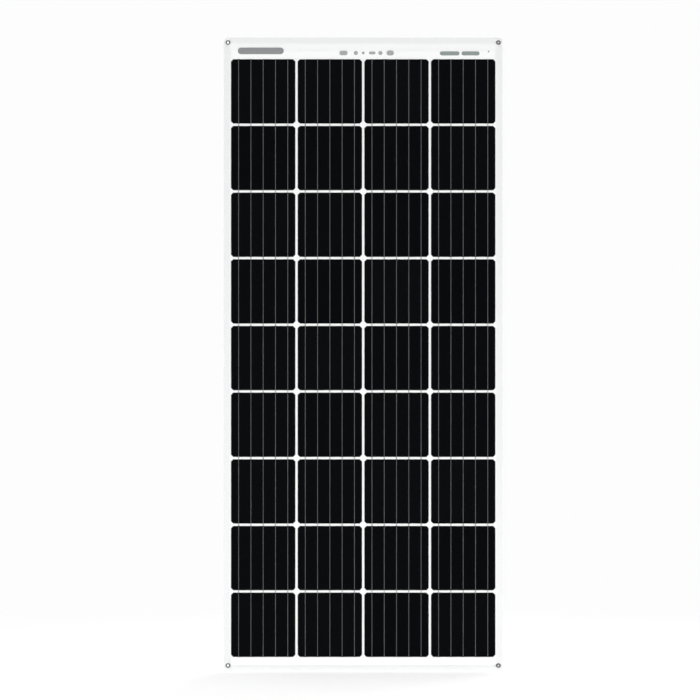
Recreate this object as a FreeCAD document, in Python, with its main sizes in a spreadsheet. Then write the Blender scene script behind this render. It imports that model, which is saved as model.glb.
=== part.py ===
import FreeCAD, Part
import math
import os

import Sketcher

# A flexible solar sheet: a thin laminate of clear film, encapsulant, solar cells and back sheet,
# with eyelets in its corners and a slim junction box glued to its back.
#
# Frame: X runs across the sheet, Z up along its length, and the cells face -Y. The back face lies
# in the plane y = 0, and the origin is the middle of the line between the two top eyelets.
#
# The sheet bends in the gaps between its rows of cells, so every layer is made as one strip per
# row. The strips of neighbouring rows are hinged together half-way through the laminate.

# Driving dimensions in millimetres. "depth" is measured from the back face towards the front.
DIMENSIONS = {
    "columns": 4,
    "rows": 9,
    "sheet_width": 680,
    "top_margin": 53,
    "bottom_margin": 33,
    "corner_radius": 10,
    "strip_clearance": 0.3,
    "cell_size": 156.75,
    "cell_corner": 5.5,
    "cell_gap": 6,
    "wafer_thickness": 0.2,
    "film_thickness": 0.2,
    "encapsulant_thickness": 1.1,
    "back_sheet_thickness": 1.2,
    "ribbons_per_cell": 5,
    "ribbon_pitch": 30,
    "ribbon_width": 1.5,
    "ribbon_thickness": 0.2,
    "ribbon_inset": 2,
    "ribbon_step_start": 0.5,
    "ribbon_step_end": 2,
    "bus_width": 5,
    "bus_thickness": 0.2,
    "bus_offset": 6,
    "bus_spacing": 4,
    "bus_overhang": 2,
    "bus_cover_start": 1,
    "bus_cover_width": 20,
    "bus_cover_depth": 2.1,
    "bus_cover_thickness": 0.15,
    "tail_pitch": 30,
    "tail_reach": 4.5,
    "tail_slot_clearance": 0.4,
    "eyelet_edge": 12,
    "eyelet_side": 10,
    "eyelet_hole_radius": 3,
    "eyelet_tube_radius": 3.3,
    "eyelet_flange_radius": 5.5,
    "eyelet_flange_height": 0.7,
    "eyelet_curl_radius": 4.2,
    "eyelet_curl_height": 0.6,
    "eyelet_bevel": 0.35,
    "eyelet_washer_thickness": 0.6,
    "box_width": 110,
    "box_height": 74,
    "box_corner": 8,
    "box_depth": 13,
    "box_wall": 2,
    "box_floor": 1.5,
    "box_tail_offset": 14,
    "box_window_width": 76,
    "box_window_height": 6,
    "adhesive_thickness": 0.8,
    "adhesive_inset": 3,
    "seal_thickness": 0.8,
    "lid_thickness": 2,
    "lid_bevel": 1,
    "lid_skirt_depth": 3,
    "lid_skirt_wall": 1.5,
    "lid_clearance": 0.3,
    "terminal_width": 14,
    "terminal_length": 24,
    "terminal_height": 6,
    "terminal_wall": 1,
    "diode_radius": 2.7,
    "diode_length": 9.5,
    "diode_bevel": 0.5,
    "diode_lead_radius": 0.6,
    "diode_height": 4.5,
    "cable_pitch": 52,
    "spigot_radius": 5,
    "spigot_length": 7,
    "spigot_bore_radius": 3.3,
    "gland_seal_bore_radius": 2.9,
    "gland_seal_length": 3,
    "gland_nut_flats": 13,
    "gland_nut_length": 12,
    "gland_nut_bore_radius": 3.3,
    "gland_nut_bevel": 1.2,
    "label_width": 90,
    "label_height": 50,
    "label_thickness": 0.15,
    "label_drop": 114,
}

doc = FreeCAD.newDocument("flexible_solar_sheet")
dims = doc.addObject("Spreadsheet::Sheet", "dims")
for line, (alias, size) in enumerate(DIMENSIONS.items(), start=1):
    dims.set(f"A{line}", alias)
    dims.set(f"B{line}", str(size))
    dims.setAlias(f"B{line}", alias)
doc.recompute()

COLUMNS = int(dims.columns)
ROWS = int(dims.rows)

# Lengths worked out from the sheet's cells, as expressions that the features are bound to.
PITCH = "(dims.cell_size + dims.cell_gap)"
HALF_CELL = "(dims.cell_size / 2)"
HALF_WIDTH = "(dims.sheet_width / 2)"
FIRST_COLUMN = f"(-(dims.columns - 1) / 2 * {PITCH})"
HALF_FAN = "((dims.ribbons_per_cell - 1) / 2 * dims.ribbon_pitch)"
HINGE_EDGE = f"({PITCH} / 2 - dims.strip_clearance / 2)"
TOP_EDGE = f"({HALF_CELL} + dims.top_margin)"
BOTTOM_EDGE = f"({HALF_CELL} + dims.bottom_margin)"

CELL_DEPTH = "(dims.back_sheet_thickness + dims.encapsulant_thickness / 2)"
FILM_DEPTH = "(dims.back_sheet_thickness + dims.encapsulant_thickness)"
FRONT_DEPTH = f"({FILM_DEPTH} + dims.film_thickness)"
SOLDER_STEP = "((dims.wafer_thickness + dims.ribbon_thickness) / 2)"
BUS_DEPTH = f"({CELL_DEPTH} - dims.ribbon_thickness / 2 - dims.bus_thickness)"

BUS_LOW = f"({HALF_CELL} + dims.bus_offset)"
BUS_HIGH = f"({BUS_LOW} + dims.bus_width)"
LEAD_LOW = f"({BUS_HIGH} + dims.bus_spacing)"
LEAD_HIGH = f"({LEAD_LOW} + dims.bus_width)"

EYELET_X = f"({HALF_WIDTH} - dims.eyelet_side)"
TAIL_Z = f"(dims.eyelet_edge - {TOP_EDGE} + {LEAD_LOW} + dims.bus_width / 2)"
BOX_Z = f"({TAIL_Z} - dims.box_tail_offset)"
CABLE_Y = "(dims.adhesive_thickness + dims.box_depth / 2)"
SPIGOT_TIP = "(dims.box_height / 2 + dims.spigot_length)"

sub_parts = []


def row_centre(row):
    """Height of the middle of a row of cells; row 1 is the top one."""
    return f"dims.eyelet_edge - {TOP_EDGE} - {row - 1} * {PITCH}"


def value(expression):
    return float(dims.evalExpression(expression))


def new_body(label, x="0", y="0", z="0", keep=True):
    """A PartDesign body placed by expressions; kept bodies are written as sub-parts."""
    body = doc.addObject("PartDesign::Body", label)
    body.Label = label
    body.setExpression(".Placement.Base.x", x)
    body.setExpression(".Placement.Base.y", y)
    body.setExpression(".Placement.Base.z", z)
    if keep:
        sub_parts.append(body)
    return body


def datum(body, role):
    return next(item for item in body.Origin.OriginFeatures if item.Role == role)


def new_sketch(body, plane, offset="0"):
    """A sketch on one of the body's own planes, moved along the plane's normal by offset.

    The normals are +Z for XY_Plane, -Y for XZ_Plane and +X for YZ_Plane.
    """
    sketch = body.newObject("Sketcher::SketchObject", f"{body.Label}_sketch")
    sketch.AttachmentSupport = [(datum(body, plane), "")]
    sketch.MapMode = "FlatFace"
    sketch.setExpression(".AttachmentOffset.Base.z", offset)
    return sketch


def pin_point(sketch, geometry, position, point):
    """Holds one point of the sketch at the two expressions in point."""
    for kind, expression in zip(("DistanceX", "DistanceY"), point):
        held = Sketcher.Constraint(kind, -1, 1, geometry, position, value(expression))
        index = sketch.addConstraint(held)
        sketch.setExpression(f"Constraints[{index}]", expression)


def draw_polygon(sketch, corners):
    """A closed outline through corners, each a pair of expressions."""
    count = len(corners)
    first = sketch.GeometryCount
    points = [FreeCAD.Vector(value(across), value(along), 0) for across, along in corners]
    for index in range(count):
        side = Part.LineSegment(points[index], points[(index + 1) % count])
        sketch.addGeometry(side, False)
    for index in range(count):
        following = first + (index + 1) % count
        sketch.addConstraint(Sketcher.Constraint("Coincident", first + index, 2, following, 1))
    for index, corner in enumerate(corners):
        pin_point(sketch, first + index, 1, corner)


def draw_rectangle(sketch, left, right, low, high):
    draw_polygon(sketch, [(left, low), (right, low), (right, high), (left, high)])


def draw_rounded_rectangle(sketch, across, along, radius):
    """A rectangle about the sketch's origin, with half sizes across and along and round corners."""
    quadrants = ((1, -1), (1, 1), (-1, 1), (-1, -1))
    arcs = []
    for turn, (right, up) in enumerate(quadrants):
        side_point = (f"{right} * {across}", f"{up} * ({along} - {radius})")
        level_point = (f"{right} * ({across} - {radius})", f"{up} * {along}")
        start, end = (level_point, side_point) if right * up < 0 else (side_point, level_point)
        centre = FreeCAD.Vector(
            right * value(f"{across} - {radius}"), up * value(f"{along} - {radius}"), 0
        )
        circle = Part.Circle(centre, FreeCAD.Vector(0, 0, 1), value(radius))
        arc = Part.ArcOfCircle(circle, (turn - 1) * math.pi / 2, turn * math.pi / 2)
        geometry = sketch.addGeometry(arc, False)
        pin_point(sketch, geometry, 1, start)
        pin_point(sketch, geometry, 2, end)
        index = sketch.addConstraint(Sketcher.Constraint("Radius", geometry, value(radius)))
        sketch.setExpression(f"Constraints[{index}]", radius)
        arcs.append(geometry)
    for arc, following in zip(arcs, arcs[1:] + arcs[:1]):
        first = sketch.getPoint(arc, 2)
        second = sketch.getPoint(following, 1)
        side = sketch.addGeometry(Part.LineSegment(first, second), False)
        sketch.addConstraint(Sketcher.Constraint("Coincident", side, 1, arc, 2))
        sketch.addConstraint(Sketcher.Constraint("Coincident", side, 2, following, 1))


def draw_circle(sketch, centre, radius):
    point = FreeCAD.Vector(value(centre[0]), value(centre[1]), 0)
    circle = Part.Circle(point, FreeCAD.Vector(0, 0, 1), value(radius))
    geometry = sketch.addGeometry(circle, False)
    pin_point(sketch, geometry, 3, centre)
    index = sketch.addConstraint(Sketcher.Constraint("Radius", geometry, value(radius)))
    sketch.setExpression(f"Constraints[{index}]", radius)


def pad(body, sketch, length, flipped=False, symmetric=False):
    """Extrudes a sketch along its plane's normal, or against it when flipped."""
    feature = body.newObject("PartDesign::Pad", f"{body.Label}_pad")
    feature.Profile = sketch
    feature.setExpression("Length", length)
    feature.Reversed = flipped
    if symmetric:
        feature.SideType = "Symmetric"
    doc.recompute()
    return feature


def pocket(body, sketch, length, along_normal=True):
    """Cuts a sketch into the body along its plane's normal, and checks that it removed material."""
    before = body.Shape.Volume
    feature = body.newObject("PartDesign::Pocket", f"{body.Label}_pocket")
    feature.Profile = sketch
    feature.setExpression("Length", length)
    feature.Reversed = along_normal
    doc.recompute()
    if not body.Shape.Volume < before:
        raise RuntimeError(f"{body.Label}: a pocket removed nothing")
    return feature


def dress(body, kind, size_name, size, chosen):
    """Fillets or chamfers the edges of the body's tip for which chosen(edge) is true."""
    base = body.Tip
    names = [f"Edge{n}" for n, edge in enumerate(base.Shape.Edges, start=1) if chosen(edge)]
    feature = body.newObject(f"PartDesign::{kind}", f"{body.Label}_{kind}")
    feature.Base = (base, names)
    feature.setExpression(size_name, size)
    doc.recompute()
    return feature


def runs_along(edge, axis):
    """True for a straight edge parallel to the axis, numbered 0 for X, 1 for Y and 2 for Z."""
    if not isinstance(edge.Curve, Part.Line):
        return False
    return abs(abs(edge.Curve.Direction[axis]) - 1) < 1e-6


def lies_in(edge, axis, place):
    """True for an edge whose ends and middle all have this coordinate along the axis."""
    box = edge.BoundBox
    low = (box.XMin, box.YMin, box.ZMin)[axis]
    high = (box.XMax, box.YMax, box.ZMax)[axis]
    return abs(low - place) < 1e-4 and abs(high - place) < 1e-4


def copies_along_x(body, features, spacing, count):
    """Repeats the features along X, starting where they are."""
    pattern = body.newObject("PartDesign::LinearPattern", f"{body.Label}_copies")
    pattern.Originals = features
    pattern.Direction = (datum(body, "X_Axis"), [""])
    pattern.Mode = "Spacing"
    pattern.setExpression("Offset", spacing)
    pattern.Occurrences = count
    body.Tip = pattern
    doc.recompute()
    return pattern


# The laminate's layers.

def strip_edges(row):
    """Top and bottom edge of one row's strips, from the middle of the row."""
    top = TOP_EDGE if row == 1 else HINGE_EDGE
    bottom = BOTTOM_EDGE if row == ROWS else HINGE_EDGE
    return top, bottom


def make_strip(label, row, depth, thickness, keep=True):
    """One row's strip of one layer, with the sheet's round corners and eyelet holes."""
    body = new_body(label, z=row_centre(row), keep=keep)
    top, bottom = strip_edges(row)
    outline = new_sketch(body, "XZ_Plane", depth)
    draw_rectangle(outline, f"-{HALF_WIDTH}", HALF_WIDTH, f"-{bottom}", top)
    pad(body, outline, thickness)
    if row in (1, ROWS):
        outer = value(top) if row == 1 else -value(bottom)
        end = "1" if row == 1 else "-1"
        outer_edge = top if row == 1 else bottom
        dress(
            body,
            "Fillet",
            "Radius",
            "dims.corner_radius",
            lambda edge: runs_along(edge, 1) and abs(edge.CenterOfMass.z - outer) < 1e-4,
        )
        holes = new_sketch(body, "XZ_Plane", depth)
        for side in ("-1", "1"):
            centre = (f"{side} * {EYELET_X}", f"{end} * ({outer_edge} - dims.eyelet_edge)")
            draw_circle(holes, centre, "dims.eyelet_tube_radius")
        pocket(body, holes, thickness)
    return body


def make_back_sheet(row):
    body = make_strip(f"back_sheet_row_{row}", row, "0", "dims.back_sheet_thickness")
    if row == 1:
        slots = new_sketch(body, "XZ_Plane")
        for tail in (-1, 0, 1):
            half = "(dims.bus_width / 2 + dims.tail_slot_clearance)"
            middle = f"{tail} * dims.tail_pitch"
            level = f"({LEAD_LOW} + dims.bus_width / 2)"
            rise = "(dims.bus_thickness / 2 + dims.tail_slot_clearance)"
            draw_rectangle(
                slots, f"{middle} - {half}", f"{middle} + {half}", f"{level} - {rise}", f"{level} + {rise}"
            )
        pocket(body, slots, "dims.back_sheet_thickness")


def make_cells(row):
    """A row of pseudo-square silicon cells: squares with their corners clipped off."""
    body = new_body(f"cells_row_{row}", x=FIRST_COLUMN, z=row_centre(row))
    outline = new_sketch(body, "XZ_Plane", f"{CELL_DEPTH} - dims.wafer_thickness / 2")
    short = f"({HALF_CELL} - dims.cell_corner)"
    draw_polygon(
        outline,
        [
            (f"-{HALF_CELL}", f"-{short}"),
            (f"-{short}", f"-{HALF_CELL}"),
            (short, f"-{HALF_CELL}"),
            (HALF_CELL, f"-{short}"),
            (HALF_CELL, short),
            (short, HALF_CELL),
            (f"-{short}", HALF_CELL),
            (f"-{HALF_CELL}", short),
        ],
    )
    wafer = pad(body, outline, "dims.wafer_thickness")
    copies_along_x(body, [wafer], PITCH, COLUMNS)
    return body


def ribbon_outline(face, side, end):
    """A ribbon seen from the side, as (y, z) corners.

    It lies flat on one face of the cell, leaves past the cell's edge on the given side, up (1) or
    down (-1), and steps to the cell's middle plane, where it meets the next row or a bus ribbon.
    """
    line = [
        (face, f"-({HALF_CELL} - dims.ribbon_inset)"),
        (face, f"({HALF_CELL} + dims.ribbon_step_start)"),
        (CELL_DEPTH, f"({HALF_CELL} + dims.ribbon_step_end)"),
        (CELL_DEPTH, end),
    ]
    half = "dims.ribbon_thickness / 2"
    front = [(f"-({depth} + {half})", f"{side} * {along}") for depth, along in line]
    rear = [(f"-({depth} - {half})", f"{side} * {along}") for depth, along in reversed(line)]
    return front + rear


def make_ribbons(row):
    """The tabbing ribbons of one row: five on the front and five on the back of each cell.

    All cells are in series. The string runs down the odd columns, where the front ribbons leave
    downwards and the rear ones upwards, and back up the even columns, the other way round.
    """
    body = new_body(f"ribbons_row_{row}", z=row_centre(row))
    top_end = BUS_HIGH if row == 1 else HINGE_EDGE
    bottom_end = BUS_HIGH if row == ROWS else HINGE_EDGE
    ends = {1: top_end, -1: bottom_end}
    fans = []
    for column, front_side in ((0, -1), (1, 1)):
        first_ribbon = f"{FIRST_COLUMN} + {column} * {PITCH} - {HALF_FAN}"
        outline = new_sketch(body, "YZ_Plane", first_ribbon)
        front_face = f"({CELL_DEPTH} + {SOLDER_STEP})"
        rear_face = f"({CELL_DEPTH} - {SOLDER_STEP})"
        draw_polygon(outline, ribbon_outline(front_face, front_side, ends[front_side]))
        draw_polygon(outline, ribbon_outline(rear_face, -front_side, ends[-front_side]))
        fans.append(pad(body, outline, "dims.ribbon_width", symmetric=True))
    pattern = body.newObject("PartDesign::MultiTransform", f"{body.Label}_pattern")
    steps = []
    for spacing, count in (("dims.ribbon_pitch", int(dims.ribbons_per_cell)), (f"2 * {PITCH}", COLUMNS // 2)):
        step = doc.addObject("PartDesign::LinearPattern", f"{body.Label}_step")
        body.addObject(step)
        step.Direction = (datum(body, "X_Axis"), [""])
        step.Mode = "Spacing"
        step.setExpression("Offset", spacing)
        step.Occurrences = count
        steps.append(step)
    pattern.Originals = fans
    pattern.Transformations = steps
    body.Tip = pattern
    doc.recompute()
    return body


def make_top_bus():
    """Cross ribbons above the first row, with tails that go back through the sheet.

    The outer two collect columns 1 and 4 and run to the junction box above the middle one, which
    joins columns 2 and 3 and is the tap between the two bypass diodes.
    """
    body = new_body("bus_ribbons_top", z=row_centre(1))
    outline = new_sketch(body, "XZ_Plane", BUS_DEPTH)
    reach = f"({HALF_FAN} + dims.bus_overhang)"
    outer = f"(1.5 * {PITCH} + {reach})"
    inner = f"(1.5 * {PITCH} - {reach})"
    for side in ("-1", "1"):
        draw_polygon(
            outline,
            [
                (f"{side} * {outer}", BUS_LOW),
                (f"{side} * {inner}", BUS_LOW),
                (f"{side} * {inner}", LEAD_LOW),
                (f"{side} * (dims.tail_pitch - dims.bus_width / 2)", LEAD_LOW),
                (f"{side} * (dims.tail_pitch - dims.bus_width / 2)", LEAD_HIGH),
                (f"{side} * ({inner} + dims.bus_width)", LEAD_HIGH),
                (f"{side} * ({inner} + dims.bus_width)", BUS_HIGH),
                (f"{side} * {outer}", BUS_HIGH),
            ],
        )
    middle = f"({PITCH} / 2 + {reach})"
    draw_polygon(
        outline,
        [
            (f"-{middle}", BUS_LOW),
            (middle, BUS_LOW),
            (middle, BUS_HIGH),
            ("dims.bus_width / 2", BUS_HIGH),
            ("dims.bus_width / 2", LEAD_HIGH),
            ("-dims.bus_width / 2", LEAD_HIGH),
            ("-dims.bus_width / 2", BUS_HIGH),
            (f"-{middle}", BUS_HIGH),
        ],
    )
    pad(body, outline, "dims.bus_thickness")
    tails = new_sketch(body, "XZ_Plane", BUS_DEPTH)
    level = f"({LEAD_LOW} + dims.bus_width / 2)"
    for tail in (-1, 0, 1):
        draw_rectangle(
            tails,
            f"{tail} * dims.tail_pitch - dims.bus_width / 2",
            f"{tail} * dims.tail_pitch + dims.bus_width / 2",
            f"{level} - dims.bus_thickness / 2",
            f"{level} + dims.bus_thickness / 2",
        )
    pad(body, tails, f"{BUS_DEPTH} + dims.tail_reach", flipped=True)
    return body


def make_bottom_bus():
    """Two cross ribbons below the last row, which join columns 1 with 2 and 3 with 4."""
    body = new_body("bus_ribbons_bottom", z=row_centre(ROWS))
    outline = new_sketch(body, "XZ_Plane", BUS_DEPTH)
    reach = f"({HALF_FAN} + dims.bus_overhang)"
    left = f"{FIRST_COLUMN} - {reach}"
    right = f"{FIRST_COLUMN} + {PITCH} + {reach}"
    draw_rectangle(outline, left, right, f"-{BUS_HIGH}", f"-{BUS_LOW}")
    link = pad(body, outline, "dims.bus_thickness")
    copies_along_x(body, [link], f"2 * {PITCH}", COLUMNS // 2)
    return body


def make_bus_cover(end, row):
    """A white strip in front of the bus ribbons, which hides them in the margin."""
    body = new_body(f"bus_cover_{end}", z=row_centre(row))
    outline = new_sketch(body, "XZ_Plane", "dims.bus_cover_depth")
    side = "1" if row == 1 else "-1"
    near = f"{side} * ({HALF_CELL} + dims.bus_cover_start)"
    far = f"{side} * ({HALF_CELL} + dims.bus_cover_start + dims.bus_cover_width)"
    reach = f"(-{FIRST_COLUMN} + {HALF_CELL})"
    draw_rectangle(outline, f"-{reach}", reach, near, far)
    pad(body, outline, "dims.bus_cover_thickness")
    return body


def make_encapsulant(row, embedded):
    """The clear encapsulant of one row: a strip with everything embedded in it cut out."""
    blank = make_strip(
        f"encapsulant_blank_row_{row}",
        row,
        "dims.back_sheet_thickness",
        "dims.encapsulant_thickness",
        keep=False,
    )
    filling = doc.addObject("Part::Compound", f"embedded_in_row_{row}")
    filling.Links = embedded
    layer = doc.addObject("Part::Cut", f"encapsulant_row_{row}")
    layer.Label = f"encapsulant_row_{row}"
    layer.Base = blank
    layer.Tool = filling
    doc.recompute()
    sub_parts.append(layer)


# Eyelets: a flanged tube put in from the front and curled over a washer at the back.

def revolve_about_y(body, corners):
    """A ring from (radius, y) corners."""
    profile = new_sketch(body, "XY_Plane")
    draw_polygon(profile, corners)
    ring = body.newObject("PartDesign::Revolution", f"{body.Label}_ring")
    ring.Profile = profile
    ring.ReferenceAxis = (profile, ["V_Axis"])
    ring.Angle = 360
    doc.recompute()
    return ring


def make_barrels(end, height):
    body = new_body(f"{end}_eyelet_barrels", x=f"-{EYELET_X}", z=height, keep=False)
    flange_top = f"-({FRONT_DEPTH} + dims.eyelet_flange_height)"
    curl_top = "(dims.eyelet_washer_thickness + dims.eyelet_curl_height)"
    ring = revolve_about_y(
        body,
        [
            ("dims.eyelet_hole_radius", flange_top),
            ("dims.eyelet_flange_radius - dims.eyelet_bevel", flange_top),
            ("dims.eyelet_flange_radius", f"{flange_top} + dims.eyelet_bevel"),
            ("dims.eyelet_flange_radius", f"-{FRONT_DEPTH}"),
            ("dims.eyelet_tube_radius", f"-{FRONT_DEPTH}"),
            ("dims.eyelet_tube_radius", "dims.eyelet_washer_thickness"),
            ("dims.eyelet_curl_radius", "dims.eyelet_washer_thickness"),
            ("dims.eyelet_curl_radius", f"{curl_top} - dims.eyelet_bevel"),
            ("dims.eyelet_curl_radius - dims.eyelet_bevel", curl_top),
            ("dims.eyelet_hole_radius", curl_top),
        ],
    )
    copies_along_x(body, [ring], f"2 * {EYELET_X}", 2)
    return body


def make_washers(end, height):
    body = new_body(f"{end}_eyelet_washers", x=f"-{EYELET_X}", z=height, keep=False)
    ring = revolve_about_y(
        body,
        [
            ("dims.eyelet_tube_radius", "0"),
            ("dims.eyelet_flange_radius", "0"),
            ("dims.eyelet_flange_radius", "dims.eyelet_washer_thickness"),
            ("dims.eyelet_tube_radius", "dims.eyelet_washer_thickness"),
        ],
    )
    copies_along_x(body, [ring], f"2 * {EYELET_X}", 2)
    return body


def make_eyelets(end, height):
    """The two eyelet sets of one end, as four separate solids: two barrels and two washers."""
    group = doc.addObject("Part::Compound", f"{end}_eyelets")
    group.Label = f"{end}_eyelets"
    group.Links = [make_barrels(end, height), make_washers(end, height)]
    doc.recompute()
    sub_parts.append(group)


# The junction box, drawn about its own centre and placed on the back face behind the top margin.

def draw_box_outline(sketch, inset):
    """The box's outline made smaller by inset all round."""
    draw_rounded_rectangle(
        sketch,
        f"(dims.box_width / 2 - {inset})",
        f"(dims.box_height / 2 - {inset})",
        f"(dims.box_corner - {inset})",
    )


def box_plate(label, y, thickness, inset):
    """A plate of the box's outline, made smaller by inset, from the height y towards +Y."""
    body = new_body(label, y=y, z=BOX_Z)
    outline = new_sketch(body, "XZ_Plane")
    draw_box_outline(outline, inset)
    pad(body, outline, thickness, flipped=True)
    return body


def cut_window(body, sketch_offset, length):
    """The opening behind the three ribbon tails."""
    window = new_sketch(body, "XZ_Plane", sketch_offset)
    half_width = "dims.box_window_width / 2"
    low = "dims.box_tail_offset - dims.box_window_height / 2"
    high = "dims.box_tail_offset + dims.box_window_height / 2"
    draw_rectangle(window, f"-{half_width}", half_width, low, high)
    pocket(body, window, length, along_normal=False)


def cut_hollow(body, top, depth):
    """The space inside the box's walls, cut from the plane y = top towards the sheet."""
    hollow = new_sketch(body, "XZ_Plane", f"-{top}")
    draw_box_outline(hollow, "dims.box_wall")
    pocket(body, hollow, depth)


def make_adhesive():
    body = box_plate("box_adhesive", "0", "dims.adhesive_thickness", "dims.adhesive_inset")
    cut_window(body, "0", "dims.adhesive_thickness")


def make_box_base():
    """The tray of the box, with a window for the ribbon tails and two threaded spigots below."""
    body = box_plate("box_base", "dims.adhesive_thickness", "dims.box_depth", "0")
    cut_hollow(body, "dims.box_depth", "dims.box_depth - dims.box_floor")
    cut_window(body, "0", "dims.box_floor")
    for radius, offset, length, drill in (
        ("dims.spigot_radius", "-(dims.box_height / 2 - dims.box_wall / 2)",
         "dims.spigot_length + dims.box_wall / 2", False),
        ("dims.spigot_bore_radius", f"-{SPIGOT_TIP}", "dims.spigot_length + 2 * dims.box_wall", True),
    ):
        circles = new_sketch(body, "XY_Plane", offset)
        for side in ("-1", "1"):
            centre = (f"{side} * dims.cable_pitch / 2", "dims.box_depth / 2")
            draw_circle(circles, centre, radius)
        if drill:
            pocket(body, circles, length)
        else:
            pad(body, circles, length, flipped=True)


def make_lid_seal():
    level = "dims.adhesive_thickness + dims.box_depth"
    body = box_plate("box_lid_seal", level, "dims.seal_thickness", "0")
    cut_hollow(body, "dims.seal_thickness", "dims.seal_thickness")


def make_lid():
    """The clip-on lid: a bevelled plate with a skirt that fits inside the box's walls."""
    level = "dims.adhesive_thickness + dims.box_depth + dims.seal_thickness"
    body = box_plate("box_lid", level, "dims.lid_thickness", "0")
    top = value("dims.lid_thickness")
    dress(body, "Chamfer", "Size", "dims.lid_bevel", lambda edge: lies_in(edge, 1, top))
    skirt = new_sketch(body, "XZ_Plane")
    fit = "(dims.box_wall + dims.lid_clearance)"
    draw_box_outline(skirt, fit)
    draw_box_outline(skirt, f"({fit} + dims.lid_skirt_wall)")
    pad(body, skirt, "dims.lid_skirt_depth")


def make_terminals():
    """Three tinned U-shaped terminals on the box's floor, one at each ribbon tail."""
    tail_edge = "(dims.box_tail_offset - dims.bus_thickness / 2)"
    body = new_body(
        "terminals",
        x="-dims.tail_pitch",
        y="dims.adhesive_thickness + dims.box_floor",
        z=f"{BOX_Z} + {tail_edge} - dims.terminal_length",
    )
    section = new_sketch(body, "XY_Plane")
    half = "dims.terminal_width / 2"
    wall = "dims.terminal_wall"
    draw_polygon(
        section,
        [
            (f"-{half}", "0"),
            (half, "0"),
            (half, "dims.terminal_height"),
            (f"{half} - {wall}", "dims.terminal_height"),
            (f"{half} - {wall}", wall),
            (f"-{half} + {wall}", wall),
            (f"-{half} + {wall}", "dims.terminal_height"),
            (f"-{half}", "dims.terminal_height"),
        ],
    )
    channel = pad(body, section, "dims.terminal_length")
    copies_along_x(body, [channel], "dims.tail_pitch", 3)


def make_diodes():
    """Two axial bypass diodes, each bridging the gap between two terminals."""
    body = new_body(
        "bypass_diodes",
        x="-dims.tail_pitch / 2",
        y="dims.adhesive_thickness + dims.box_floor + dims.diode_height",
        z=BOX_Z,
    )
    profile = new_sketch(body, "XY_Plane")
    tip = "((dims.tail_pitch - dims.terminal_width) / 2)"
    end = "(dims.diode_length / 2)"
    shoulder = "(dims.diode_radius - dims.diode_bevel)"
    draw_polygon(
        profile,
        [
            (f"-{tip}", "0"),
            (tip, "0"),
            (tip, "dims.diode_lead_radius"),
            (end, "dims.diode_lead_radius"),
            (end, shoulder),
            (f"{end} - dims.diode_bevel", "dims.diode_radius"),
            (f"-{end} + dims.diode_bevel", "dims.diode_radius"),
            (f"-{end}", shoulder),
            (f"-{end}", "dims.diode_lead_radius"),
            (f"-{tip}", "dims.diode_lead_radius"),
        ],
    )
    diode = body.newObject("PartDesign::Revolution", "diode")
    diode.Profile = profile
    diode.ReferenceAxis = (profile, ["H_Axis"])
    diode.Angle = 360
    doc.recompute()
    copies_along_x(body, [diode], "dims.tail_pitch", 2)


def make_gland_seals():
    """Rubber rings between the spigots' tips and the nuts' end walls, bored for the cables."""
    body = new_body(
        "gland_seals", x="-dims.cable_pitch / 2", y=CABLE_Y, z=f"{BOX_Z} - {SPIGOT_TIP}"
    )
    section = new_sketch(body, "XY_Plane")
    draw_circle(section, ("0", "0"), "dims.spigot_radius")
    draw_circle(section, ("0", "0"), "dims.gland_seal_bore_radius")
    ring = pad(body, section, "dims.gland_seal_length", flipped=True)
    copies_along_x(body, [ring], "dims.cable_pitch", 2)


def make_gland_nuts():
    """Hexagonal cap nuts screwed over the spigots, with a bevelled outlet end."""
    mouth = f"{SPIGOT_TIP} - dims.spigot_length"
    body = new_body("gland_nuts", x="-dims.cable_pitch / 2", y=CABLE_Y, z=f"{BOX_Z} - ({mouth})")
    section = new_sketch(body, "XY_Plane")
    flat = "(dims.gland_nut_flats / 2)"
    corner = f"({flat} / cos(30))"
    draw_polygon(
        section,
        [
            (corner, "0"),
            (f"{corner} / 2", flat),
            (f"-{corner} / 2", flat),
            (f"-{corner}", "0"),
            (f"-{corner} / 2", f"-{flat}"),
            (f"{corner} / 2", f"-{flat}"),
        ],
    )
    pad(body, section, "dims.gland_nut_length", flipped=True)
    outlet = -value("dims.gland_nut_length")
    dress(body, "Chamfer", "Size", "dims.gland_nut_bevel", lambda edge: lies_in(edge, 2, outlet))
    for radius, length in (
        ("dims.spigot_radius", "dims.spigot_length + dims.gland_seal_length"),
        ("dims.gland_nut_bore_radius", "dims.gland_nut_length"),
    ):
        hole = new_sketch(body, "XY_Plane")
        draw_circle(hole, ("0", "0"), radius)
        pocket(body, hole, length, along_normal=False)
    pattern = copies_along_x(body, [], "dims.cable_pitch", 2)
    pattern.TransformMode = "Whole shape"
    doc.recompute()


def make_label():
    """A blank rating label stuck to the back face below the box."""
    body = new_body("rating_label", z=f"{BOX_Z} - dims.label_drop")
    outline = new_sketch(body, "XZ_Plane")
    half_width = "dims.label_width / 2"
    half_height = "dims.label_height / 2"
    draw_rectangle(outline, f"-{half_width}", half_width, f"-{half_height}", half_height)
    pad(body, outline, "dims.label_thickness", flipped=True)


bus_pieces = {
    1: [make_top_bus(), make_bus_cover("top", 1)],
    ROWS: [make_bottom_bus(), make_bus_cover("bottom", ROWS)],
}
for row in range(1, ROWS + 1):
    make_strip(f"front_film_row_{row}", row, FILM_DEPTH, "dims.film_thickness")
    row_cells = make_cells(row)
    row_ribbons = make_ribbons(row)
    make_encapsulant(row, [row_cells, row_ribbons, *bus_pieces.get(row, [])])
    make_back_sheet(row)

bottom_eyelet_height = f"2 * dims.eyelet_edge - {TOP_EDGE} - (dims.rows - 1) * {PITCH} - {BOTTOM_EDGE}"
for end, height in (("top", "0"), ("bottom", bottom_eyelet_height)):
    make_eyelets(end, height)

make_adhesive()
make_box_base()
make_lid_seal()
make_lid()
make_terminals()
make_diodes()
make_gland_seals()
make_gland_nuts()
make_label()

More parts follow.
